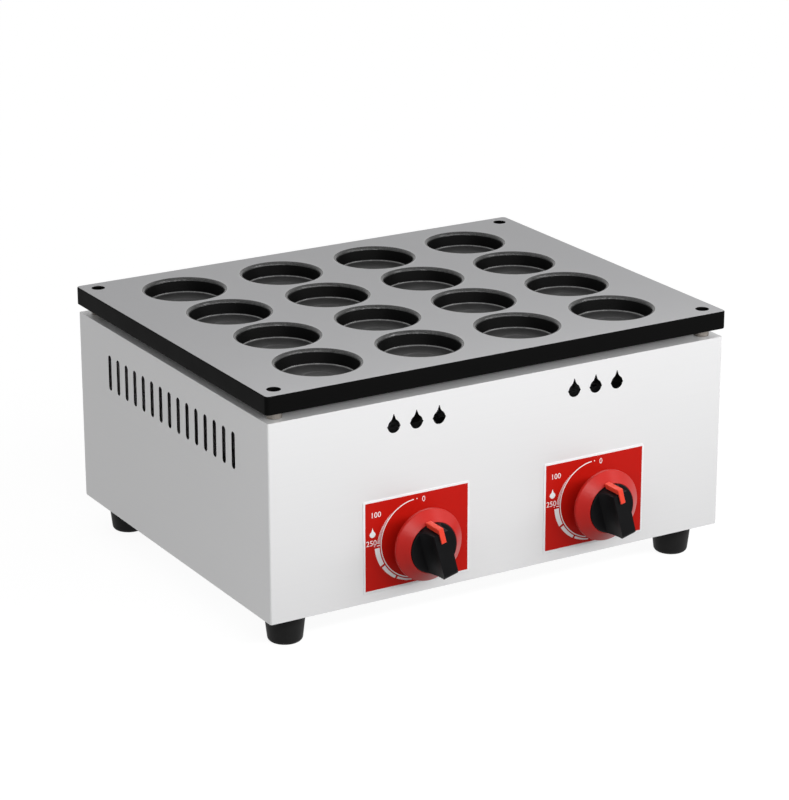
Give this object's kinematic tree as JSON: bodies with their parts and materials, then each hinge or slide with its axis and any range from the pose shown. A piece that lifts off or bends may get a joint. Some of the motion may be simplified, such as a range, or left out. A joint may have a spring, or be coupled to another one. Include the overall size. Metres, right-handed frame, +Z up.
{
  "type": "gas egg burger maker",
  "caption": "Counter-top gas griddle: cast mould plate with round cups on spacers over a vented steel housing with press-and-turn knobs.",
  "frame": {"origin": "middle of the whole footprint, on the surface the feet stand on", "axes": "+X to the right seen from the front, +Y from the knobs towards the back, +Z up"},
  "size_m": [0.484, 0.464, 0.2423],
  "materials": {
    "stainless_sheet": "satin brushed stainless sheet",
    "galvanised_sheet": "zinc-coated steel, dull",
    "cast_plate": "cast, grey satin top, black coated cups and edges",
    "bright_steel": "bright turned steel",
    "black_steel": "blackened steel",
    "rubber": "matt black",
    "dial_print": "red print with a white border, satin",
    "black_plastic": "satin black moulding",
    "red_plastic": "glossy red moulding",
    "brass": "machined brass",
    "cast_iron": "rough black cast iron",
    "ceramic": "glazed white ceramic",
    "lead_sleeve": "silicone sleeve, dull red"
  },
  "bodies": {
    "root": {"body_shell": "stainless_sheet", "rear_panel": "stainless_sheet", "base_pan": "galvanised_sheet", "gas_manifold": "galvanised_sheet", "feed_pipe": "galvanised_sheet", "burner_rail_front": "galvanised_sheet", "burner_rail_rear": "galvanised_sheet", "heat_shield": "galvanised_sheet", "mould_plate": "cast_plate", "plate_spacer_front_left": "bright_steel", "plate_spacer_front_right": "bright_steel", "plate_spacer_back_left": "bright_steel", "plate_spacer_back_right": "bright_steel", "foot_screw_front_left": "bright_steel", "foot_screw_front_right": "bright_steel", "foot_screw_back_left": "bright_steel", "foot_screw_back_right": "bright_steel", "rear_screw_bottom_left": "bright_steel", "rear_screw_bottom_right": "bright_steel", "rear_screw_top_left": "bright_steel", "rear_screw_top_right": "bright_steel", "pan_screw_front": "bright_steel", "pan_screw_rear": "bright_steel", "return_spring_left": "bright_steel", "return_spring_right": "bright_steel", "plate_bolt_front_left": "black_steel", "plate_bolt_front_right": "black_steel", "plate_bolt_back_left": "black_steel", "plate_bolt_back_right": "black_steel", "foot_front_left": "rubber", "foot_front_right": "rubber", "foot_back_left": "rubber", "foot_back_right": "rubber", "dial_plate_left": "dial_print", "dial_plate_right": "dial_print", "gas_valve_left": "brass", "gas_valve_right": "brass", "injector_left": "brass", "injector_right": "brass", "gas_inlet": "brass", "inlet_nut": "brass", "burner_left": "cast_iron", "burner_right": "cast_iron", "igniter_electrode_left": "ceramic", "igniter_electrode_right": "ceramic", "ignition_lead_left": "lead_sleeve", "ignition_lead_right": "lead_sleeve"},
    "left_press": {"spring_cup_left": "bright_steel"},
    "right_press": {"spring_cup_right": "bright_steel"},
    "left_shutter": {"air_shutter_left": "bright_steel"},
    "right_shutter": {"air_shutter_right": "bright_steel"},
    "left_knob": {"knob_grip_left": "black_plastic", "knob_skirt_left": "red_plastic", "knob_pointer_left": "red_plastic", "valve_stem_left": "brass"},
    "right_knob": {"knob_grip_right": "black_plastic", "knob_skirt_right": "red_plastic", "knob_pointer_right": "red_plastic", "valve_stem_right": "brass"}
  },
  "joints": [
    {"name": "left_knob_press", "type": "slide", "parent": "root", "child": "left_press", "axis": [0, 1, 0], "range_m": [0, 0.005], "stiffness_N_per_m": 1200, "springref_m": -0.003, "deforming": ["return_spring_left"]},
    {"name": "left_knob_turn", "type": "hinge", "parent": "left_press", "child": "left_knob", "pos_m": [-0.0915, -0.21, 0.0838], "axis": [0, -1, 0], "range_deg": [0, 160]},
    {"name": "left_air_shutter_turn", "type": "hinge", "parent": "root", "child": "left_shutter", "pos_m": [-0.0915, -0.079, 0.0838], "axis": [0, 1, 0], "range_deg": [0, 60]},
    {"name": "right_knob_press", "type": "slide", "parent": "root", "child": "right_press", "axis": [0, 1, 0], "range_m": [0, 0.005], "stiffness_N_per_m": 1200, "springref_m": -0.003, "deforming": ["return_spring_right"]},
    {"name": "right_knob_turn", "type": "hinge", "parent": "right_press", "child": "right_knob", "pos_m": [0.0985, -0.21, 0.0838], "axis": [0, -1, 0], "range_deg": [0, 160]},
    {"name": "right_air_shutter_turn", "type": "hinge", "parent": "root", "child": "right_shutter", "pos_m": [0.0985, -0.079, 0.0838], "axis": [0, 1, 0], "range_deg": [0, 60]}
  ]
}
